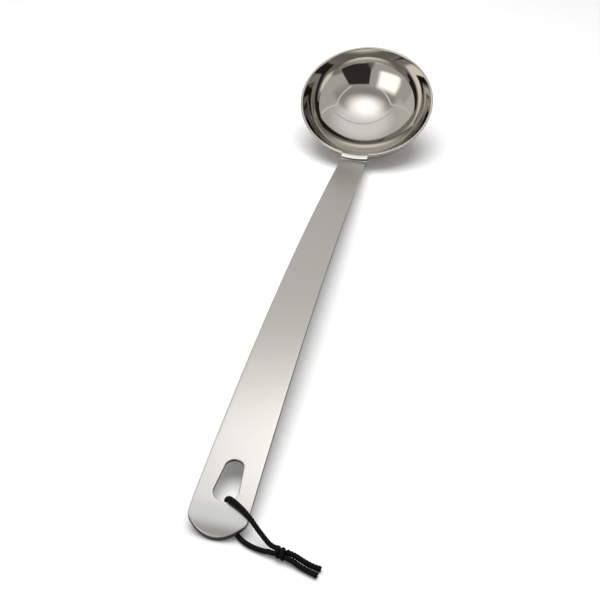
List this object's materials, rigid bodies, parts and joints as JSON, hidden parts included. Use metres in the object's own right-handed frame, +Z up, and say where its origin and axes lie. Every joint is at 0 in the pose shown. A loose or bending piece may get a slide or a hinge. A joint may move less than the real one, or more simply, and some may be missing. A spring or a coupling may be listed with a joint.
{
  "type": "serving ladle",
  "caption": "Small one-piece pressed steel serving ladle with a plain deep round bowl, a tapered arched handle with a hanging slot, and a knotted cord.",
  "frame": {"origin": "on the table below the middle of the ladle's length", "axes": "+Z up from the table, the bowl towards +Y, the handle's end towards -Y, X across"},
  "size_m": [0.067, 0.3054, 0.0399],
  "materials": {
    "steel": "mirror polish in the bowl and rim, satin on the handle",
    "cord": "black round braid"
  },
  "bodies": {
    "root": {"ladle": "steel", "cord_loop": "cord", "cord_knot": "cord", "cord_end_over": "cord", "cord_end_under": "cord"}
  },
  "joints": []
}
